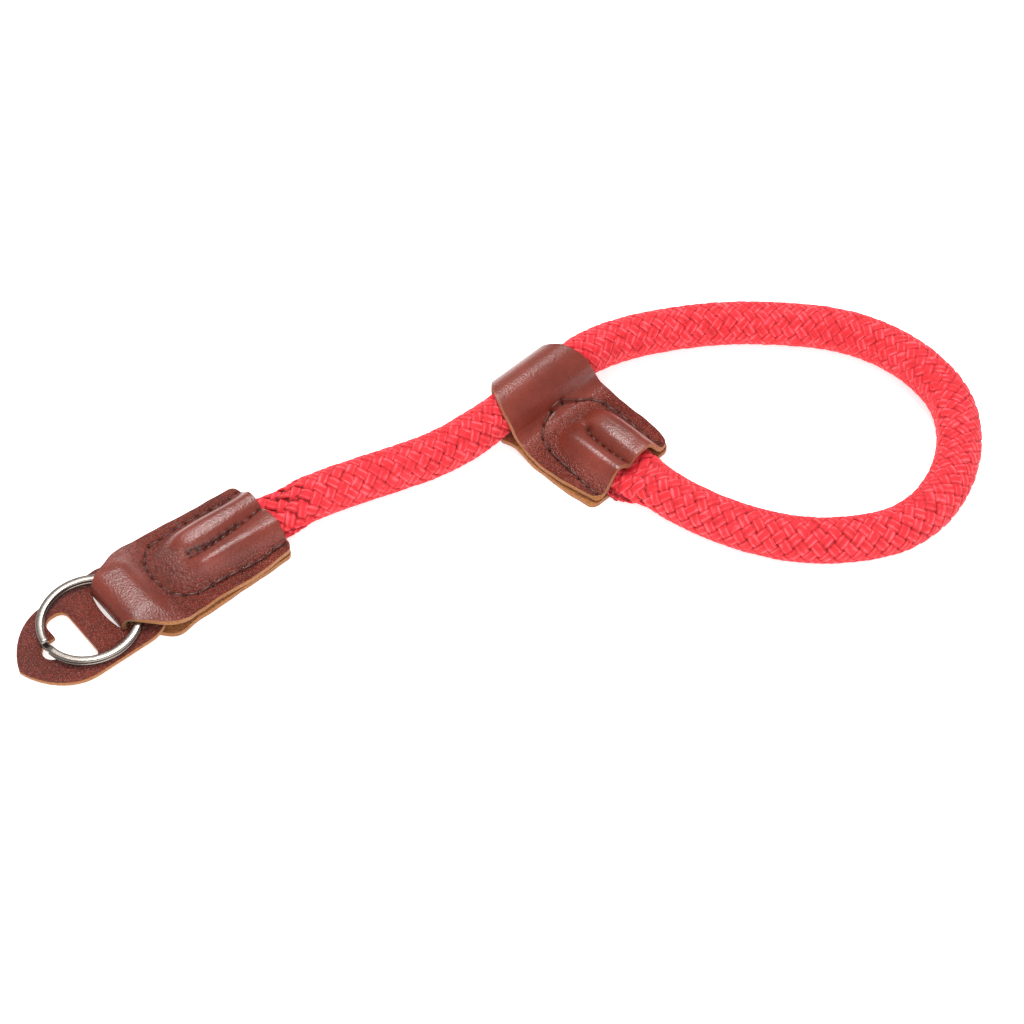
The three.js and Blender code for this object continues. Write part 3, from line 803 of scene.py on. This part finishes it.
# %% Stitch lines, as along and across
CONNECTOR["seam"] = np.array([
    (42.4, 9.9), (40.0, 9.4), (37.9, 9.2), (34.9, 9.7), (31.5, 10.1), (28.3, 10.3), (25.1, 10.4), (21.3, 10.0),
    (18.0, 9.9), (15.8, 8.1), (14.2, 5.9), (13.3, 3.2), (12.9, 0.5), (13.3, -2.1), (14.2, -5.1), (16.5, -7.2),
    (19.3, -8.6), (22.9, -8.9), (26.6, -9.1), (30.3, -9.5), (34.0, -9.8), (36.8, -9.8), (39.4, -9.5), (42.4, -9.5),
])
SLIDER["seam"] = np.array([
    (37.6, 10.4), (34.4, 10.1), (30.8, 10.6), (27.1, 11.1), (23.2, 11.6), (19.6, 10.8), (16.8, 8.9), (15.0, 5.4),
    (13.6, 1.6), (13.8, -2.2), (15.0, -5.8), (17.2, -8.3), (20.2, -9.1), (23.8, -9.8), (27.6, -10.2), (31.3, -10.5),
    (34.7, -10.9), (37.9, -11.2),
])
CONNECTOR["groove_rows"] = [
    np.array([(23.0, 0.5), (25.0, 0.2), (27.0, -0.3), (29.1, -0.5), (31.3, -0.4), (33.6, -0.2), (35.8, 0.1)]),
    np.array([
        (22.6, -1.2), (24.2, -1.7), (26.1, -2.0), (28.1, -1.9), (30.2, -1.7), (32.4, -1.5), (34.6, -1.2),
        (37.2, -0.5), (39.8, 0.1), (42.5, 0.7),
    ]),
]
SLIDER["groove_rows"] = [
    np.array([
        (24.2, 0.1), (26.0, -1.1), (28.2, -1.4), (30.4, -1.4), (32.6, -1.4), (34.8, -1.5), (37.0, -1.6),
    ]),
]
print("stitches", len(CONNECTOR["seam"]) + len(SLIDER["seam"]) - 2)

# %% Sinking the stitch lines into the leather
SEAM_DEPTH, SEAM_WIDTH = 0.38, 0.45
HOLE_DEPTH, HOLE_WIDTH = 0.6, 0.58
PIT_DEPTH, PIT_WIDTH = 0.35, 0.6
START_DEPTH, START_WIDTH = 0.5, 0.75  # the dimple where a groove starts
# Shade painted on the leather along a sewn line, round a hole and in a groove's pit; a groove's starting dimple gets
# it in full.
SEAM_LINE_SHADE, STITCH_HOLE_SHADE, GROOVE_PIT_SHADE = 0.18, 1.3, 1.1


def line_distance(points, line):
    """Distance from each point to a line of straight stitches."""
    best = np.full(len(points), np.inf)
    for start, end in zip(line[:-1], line[1:]):
        run = end - start
        share = np.clip(((points - start) @ run) / (run @ run), 0, 1)
        best = np.minimum(best, np.linalg.norm(points - start - share[:, None] * run, axis=1))
    return best


def hole_distance(points, line):
    """Distance from each point to the nearest of the holes."""
    return np.min(np.linalg.norm(points[:, None] - line[None], axis=2), axis=1)


def sewn_depth(piece, points):
    """How far stitching pulls the upper ply down, and how much shade is painted on the leather there."""
    line = np.exp(-((line_distance(points, piece["seam"]) / SEAM_WIDTH) ** 2))
    hole = np.exp(-((hole_distance(points, piece["seam"]) / HOLE_WIDTH) ** 2))
    depth = SEAM_DEPTH * line + HOLE_DEPTH * hole
    dark = SEAM_LINE_SHADE * line + STITCH_HOLE_SHADE * hole
    for row in piece["groove_rows"]:
        pit = np.exp(-((hole_distance(points, row) / PIT_WIDTH) ** 2))
        depth = depth + PIT_DEPTH * pit
        dark = np.maximum(dark, GROOVE_PIT_SHADE * pit)
    start = np.exp(-((hole_distance(points, piece["groove_rows"][0][:1]) / START_WIDTH) ** 2))
    depth = depth + START_DEPTH * start
    dark = np.maximum(dark, start)
    return depth, dark


print("pull at a hole", np.round(sewn_depth(SLIDER, SLIDER["seam"][:1])[0], 2))

# %% Carrying a grid onto a folded strip
STRIP_ROWS = 300
STRIP_COLUMNS = 72
STRIP_STOPS = 4000
CORNER = 1.9  # rounding of the cut corners
LIP_LENGTH = 4.0  # over which the mouth opens
LIP_BESIDE = (5.5, 9.5)  # distances from the middle line over which it closes again
LONG_RIPPLE, SHORT_RIPPLE = (0.07, 0.45), (0.04, 1.1)  # unevenness of a cut edge: height, and turn per mm
FULL_SWELLING = 4.0  # a swelling of this height stretches the leather fully
ROLLED = (2.5, 5.0)  # the height of a fold over which its leather becomes fully stretched
STRIP_RIM = 0.22
RIM_ANGLE = math.radians(60)
CONNECTOR["lip"] = 0.15
SLIDER["lip"] = 0.4


def strip_row(piece, place):
    """Rows of the strip's table at places from 0 to 1, kept on the table or above it."""
    row = even_curve(piece["strip"], place)
    row[:, 1] = np.maximum(row[:, 1], SEAM_LOW)
    return row


def measure_strip(piece):
    """Length along the strip's middle line for places from 0 to 1, and the place of the fold."""
    place = np.linspace(0, 1, STRIP_STOPS)
    row = strip_row(piece, place)
    steps = np.linalg.norm(np.diff(row[:, :2], axis=0), axis=1)
    piece["places"] = place
    piece["lengths"] = np.concatenate([[0], np.cumsum(steps)])
    piece["fold"] = int(np.argmin(piece["strip"][:, 0])) / (len(piece["strip"]) - 1)


def strip_middle(piece, place, share):
    """Middle surface of the strip at places along it, and shares across it from -1 to 1."""
    row = strip_row(piece, place)
    length = np.interp(place, piece["places"], piece["lengths"])
    to_end = np.minimum(length, piece["lengths"][-1] - length)
    cut = CORNER - np.sqrt(np.maximum(CORNER**2 - np.maximum(CORNER - to_end, 0) ** 2, 0))
    ripple = LONG_RIPPLE[0] * np.sin(length * LONG_RIPPLE[1] + share * 2)
    ripple = ripple + SHORT_RIPPLE[0] * np.sin(length * SHORT_RIPPLE[1])
    near = row[:, 2] - cut + ripple * (share < 0)
    far = row[:, 3] - cut + ripple * (share > 0)
    across = -near + (near + far) * (share + 1) / 2
    upper = place > piece["fold"]
    lift = np.where(upper, ply_lift(piece, row[:, 0], across), 0)
    return np.stack([row[:, 0], across, row[:, 1] + lift], axis=1), upper


def ply_lift(piece, along, across):
    """Height of the upper ply over its strip: its mould, and a lip that opens at the mouth."""
    lip = smoothstep(along, piece["length"] - LIP_LENGTH, piece["length"])
    lip = lip * (1 - smoothstep(np.abs(across), *LIP_BESIDE))
    return upper_lift(piece["mould"], along, across) + piece["lip"] * lip


def leather_strip(name, piece):
    """The strip's middle surface, which also stores where shade is painted at stitches and where its leather
    stretches.
    """
    measure_strip(piece)
    bm = bmesh.new()
    bmesh.ops.create_grid(bm, x_segments=STRIP_ROWS, y_segments=STRIP_COLUMNS, size=1.0)
    mesh = bpy.data.meshes.new(name)
    bm.to_mesh(mesh)
    bm.free()
    flat = read_points(mesh)
    place = np.interp((flat[:, 0] + 1) / 2 * piece["lengths"][-1], piece["lengths"], piece["places"])
    middle, upper = strip_middle(piece, place, flat[:, 1])
    depth, dark = sewn_depth(piece, middle[:, :2])
    middle[:, 2] -= depth * upper
    write_points(mesh, to_table(piece, middle))
    # Painted shade at the holes, sewn lines and pits of the upper ply.
    write_share(mesh, "stitch_shade", dark * upper)
    lift = upper_lift(piece["mould"], middle[:, 0], middle[:, 1])
    rolled = smoothstep(strip_row(piece, place)[:, 1], *ROLLED)
    write_share(mesh, "stretch", (lift / FULL_SWELLING + rolled) * upper)
    return mesh


connector_strip = leather_strip("connector_folded_strip", CONNECTOR)
slider_strip = leather_strip("slider_folded_strip", SLIDER)
for mesh, node in ((connector_strip, "connector_leather"), (slider_strip, "slider_leather")):
    piece = finish_piece(mesh, LEATHER_SIDES, node)
    wall = piece.modifiers.new("leather_thickness", "SOLIDIFY")
    wall.thickness = LEATHER * MM
    wall.offset = 0.0
    wall.use_even_offset = False
    wall.material_offset = 1
    wall.material_offset_rim = 2
    rim = piece.modifiers.new("worn_rim", "BEVEL")
    rim.width = STRIP_RIM * MM
    rim.segments = 2
    rim.limit_method = "ANGLE"
    rim.angle_limit = RIM_ANGLE
print("flat lengths", round(CONNECTOR["lengths"][-1], 1), round(SLIDER["lengths"][-1], 1))

# %% [markdown]
# ## Stitches
# Waxed thread runs in long stitches round the sewn edge, and in short ones down the groove between the two swellings.
# Each stitch is a short strand that starts below the leather in one hole, bows a little over it, and goes down in
# the next hole.

# %% Thread
THREAD_RADIUS = 0.24
STITCH_RINGS = 9
STITCH_SIDES = 8
HOLE_HALF = 0.36
STITCH_BOW, STITCH_SINK = 0.42, 0.34  # how it rises over the leather, and how deep its ends go
END_SHARE, BELLY_SHARE = 0.7, 0.3  # thickness of a stitch's ends, and what its middle adds
STITCH_MAP = 3.5
PROBE = 0.15  # step to the side that finds which way the leather faces
FACE_STOPS = 3000


def upper_face(piece, target):
    """Points on the outside of the upper ply over targets given as along and across, with the outward directions."""
    places = np.linspace(piece["fold"] + 0.02, 1, FACE_STOPS)
    alongs = strip_row(piece, places)[:, 0]
    aim = target.copy()
    for _ in range(4):
        corners = []
        for da, db in ((0, 0), (PROBE, 0), (0, PROBE)):
            along, across = aim[:, 0] + da, aim[:, 1] + db
            up = strip_row(piece, np.interp(along, alongs, places))[:, 1]
            up = up + ply_lift(piece, along, across)
            up = up - sewn_depth(piece, np.stack([along, across], axis=1))[0]
            corners.append(np.stack([along, across, up], axis=1))
        out = unit(np.cross(corners[1] - corners[0], corners[2] - corners[0]))
        face = corners[0] + out * HALF_WALL
        aim = aim + (target - face[:, :2])
    return face, out


def stitch_mesh(name, piece):
    """Every stitch of a strip."""
    starts, ends = [], []
    for line in [piece["seam"]] + piece["groove_rows"]:
        starts.append(line[:-1])
        ends.append(line[1:])
    starts, ends = np.concatenate(starts), np.concatenate(ends)
    run = unit(ends - starts)
    share = np.linspace(0, 1, STITCH_RINGS)
    first, last = starts + run * HOLE_HALF, ends - run * HOLE_HALF
    target = first[:, None] + (last - first)[:, None] * share[None, :, None]
    face, out = upper_face(piece, target.reshape(-1, 2))
    face, out = face.reshape(len(starts), STITCH_RINGS, 3), out.reshape(len(starts), STITCH_RINGS, 3)
    bow = STITCH_BOW * np.sin(math.pi * share) ** 0.5 - STITCH_SINK
    middle = face + out * bow[None, :, None]
    radius = THREAD_RADIUS * (END_SHARE + BELLY_SHARE * np.sin(math.pi * share))
    radius = np.broadcast_to(radius, middle.shape[:2])
    turned = to_table(piece, middle.reshape(-1, 3)).reshape(middle.shape)
    out_turned = to_table(piece, (middle + out).reshape(-1, 3)).reshape(middle.shape) - turned
    surface = strand_surface(turned, out_turned, radius, radius, round_section(STITCH_SIDES, 1.0))
    return rolled_mesh(name, surface, share * STITCH_MAP, 2 * math.pi * THREAD_RADIUS)


connector_thread = stitch_mesh("connector_stitching", CONNECTOR)
slider_thread = stitch_mesh("slider_stitching", SLIDER)
finish_piece(connector_thread, [thread], "connector_leather")
finish_piece(slider_thread, [thread], "slider_leather")
print("thread faces", len(connector_thread.polygons) + len(slider_thread.polygons))

# %% [markdown]
# ## The protector pad
# The pad is one cut piece of the same leather with two openings: a slot that the connector's neck goes through, and
# a window that shows the camera's lug. Three outlines are filled as one flat face, drawn up to the leather's
# thickness, and the cut edges are softened. It leans a little, with its tip on the table.

# %% Pad outlines
PAD_TIP = 23.3
PAD_OFFSET = -1.1
PAD_TAIL = 10.5
PAD_HALF = 11.9
PAD_FAR_HALF = 12.9
SLOT_TO, SLOT_HALF = 3.0, 6.9
WINDOW_FROM, WINDOW_TO, WINDOW_HALF, WINDOW_CORNER = -12.3, -6.9, 8.1, 2.2
LOBE_HALF, LOBE_END = 2.6, -17.0
STACK_GAP = 0.2  # between the pad and the leather under it, and between the ring and the pad
PAD_SLACK = 0.1
PAD_TILT = math.atan((LEATHER + STACK_GAP + PAD_SLACK) / (PAD_TIP + SLOT_TO))
PAD_RIM, PAD_RIM_ANGLE = 0.2, 1.2  # width in mm, and the least angle in radians


def bend(start, first, second, end, steps=12):
    """A smooth cut from start to end, steered by two points."""
    t = np.linspace(0, 1, steps, endpoint=False)[:, None]
    points = [np.array(point) for point in (start, first, second, end)]
    return (
        (1 - t) ** 3 * points[0]
        + 3 * (1 - t) ** 2 * t * points[1]
        + 3 * (1 - t) * t**2 * points[2]
        + t**3 * points[3]
    )


def arc(x, y, radius, start, end, steps=8):
    """Points round x, y from one angle to another, in degrees."""
    angles = np.radians(np.linspace(start, end, steps))
    return np.stack([x + radius * np.cos(angles), y + radius * np.sin(angles)], axis=1)


outer_cut = np.vstack([
    bend((-PAD_TIP, 0), (-21.8, -5.4), (-17, -11.6), (-10.5, -PAD_HALF)),
    bend((-10.5, -PAD_HALF), (-4, -PAD_HALF), (0, -PAD_HALF), (3.5, -PAD_HALF)),
    bend((3.5, -PAD_HALF), (7.5, -PAD_HALF), (PAD_TAIL, -9.5), (PAD_TAIL, -6.5)),
    bend((PAD_TAIL, 6.5), (PAD_TAIL, 10.3), (7.5, PAD_FAR_HALF), (3.5, PAD_FAR_HALF)),
    bend((-10.5, PAD_HALF), (-17, 11.6), (-21.8, 5.4), (-PAD_TIP, 0)),
])
slot_centre = -PAD_OFFSET
slot_cut = np.vstack([
    [(SLOT_TO, slot_centre - SLOT_HALF), (SLOT_TO, slot_centre + SLOT_HALF)],
    bend(
        (0.7, slot_centre + SLOT_HALF), (-0.9, slot_centre + 3),
        (-0.9, slot_centre - 3), (0.7, slot_centre - SLOT_HALF),
    ),
    [(0.7, slot_centre - SLOT_HALF)],
])
corner_far = WINDOW_HALF - WINDOW_CORNER
window_cut = np.vstack([
    arc(WINDOW_TO - WINDOW_CORNER, corner_far, WINDOW_CORNER, 0, 90),
    arc(WINDOW_FROM + WINDOW_CORNER, corner_far, WINDOW_CORNER, 90, 180),
    [(WINDOW_FROM, LOBE_HALF)],
    arc(LOBE_END + LOBE_HALF, 0, LOBE_HALF, 90, 270, 14),
    [(WINDOW_FROM - 0.9, -LOBE_HALF - 0.5)],
    arc(WINDOW_FROM + WINDOW_CORNER, -corner_far, WINDOW_CORNER, 180, 270),
    arc(WINDOW_TO - WINDOW_CORNER, -corner_far, WINDOW_CORNER, 270, 360),
])
print("cut points", len(outer_cut), len(slot_cut), len(window_cut))

# %% Pad
def from_pad(points):
    """Points of the level pad, with its tip at x = -PAD_TIP, to the frame."""
    x, y, z = points[:, 0] + PAD_TIP, points[:, 1], points[:, 2]
    tilted = np.stack([x * math.cos(PAD_TILT) - z * math.sin(PAD_TILT) - PAD_TIP,
                       y + PAD_OFFSET,
                       x * math.sin(PAD_TILT) + z * math.cos(PAD_TILT)], axis=1)
    return to_table(CONNECTOR, tilted)


bm = bmesh.new()
cut_edges = []
for cut in (outer_cut, slot_cut, window_cut):
    loop = [bm.verts.new((x, y, 0.0)) for x, y in cut]
    cut_edges += [bm.edges.new((a, b)) for a, b in zip(loop, loop[1:] + loop[:1])]
bmesh.ops.triangle_fill(bm, edges=cut_edges, use_beauty=True, use_dissolve=False)
bmesh.ops.recalc_face_normals(bm, faces=bm.faces)
drawn = bmesh.ops.extrude_face_region(bm, geom=bm.faces[:])
bmesh.ops.translate(bm, verts=[v for v in drawn["geom"] if isinstance(v, bmesh.types.BMVert)], vec=(0, 0, LEATHER))
bmesh.ops.recalc_face_normals(bm, faces=bm.faces)
for face in bm.faces:
    face.material_index = 0 if face.normal.z > 0.5 else 1 if face.normal.z < -0.5 else 2
rim_edges = [e for e in bm.edges if len(e.link_faces) == 2 and e.calc_face_angle() > PAD_RIM_ANGLE]
bmesh.ops.bevel(bm, geom=rim_edges, offset=PAD_RIM, segments=2, profile=0.5, affect="EDGES", material=-1)
pad_mesh = bpy.data.meshes.new("protector_pad_cut")
bm.to_mesh(pad_mesh)
bm.free()
write_points(pad_mesh, from_pad(read_points(pad_mesh)))
finish_piece(pad_mesh, LEATHER_SIDES, "protector_pad")
pad_mesh.set_sharp_from_angle(angle=math.radians(50))
print("pad faces", len(pad_mesh.polygons))

# %% [markdown]
# ## The split ring
# The ring is one flattened wire that goes round twice, with a short climb from the lower turn to the upper one. Its
# end shows as a small dark notch.

# %% Ring
RING_RADIUS = 11.2
RING_WIDE, RING_HIGH = 1.7, 0.8
RING_PITCH = 0.95  # from the lower turn to the upper one
RING_ALONG, RING_ACROSS = -4.0, -0.25
RING_STEP = math.radians(8)  # over which the wire climbs
RING_END_GAP = math.radians(3)
RING_ENDS_AT = math.radians(187)
RING_RINGS, RING_SIDES, RING_ROUNDNESS = 190, 14, 0.55
RING_GIRTH = 4.0

turned = np.linspace(0, 4 * math.pi - RING_STEP - RING_END_GAP, RING_RINGS)
climb = smoothstep(turned, 2 * math.pi - RING_STEP, 2 * math.pi) * RING_PITCH
ring_angle = RING_ENDS_AT + turned
wire = np.stack([
    RING_ALONG + RING_RADIUS * np.cos(ring_angle),
    RING_ACROSS - PAD_OFFSET + RING_RADIUS * np.sin(ring_angle),
    LEATHER + STACK_GAP + RING_HIGH / 2 + climb,
], axis=1)
wire_up = from_pad(wire + [0, 0, 1.0]) - from_pad(wire)
half_wide = np.full((1, RING_RINGS), RING_WIDE / 2)
half_high = np.full((1, RING_RINGS), RING_HIGH / 2)
ring_section = round_section(RING_SIDES, RING_ROUNDNESS)
ring_surface = strand_surface(from_pad(wire)[None], wire_up[None], half_wide, half_high, ring_section)
ring_mesh = rolled_mesh("split_ring_wire", ring_surface, turned * RING_RADIUS, RING_GIRTH)
finish_piece(ring_mesh, [steel], "split_ring")
print("ring faces", len(ring_mesh.polygons))
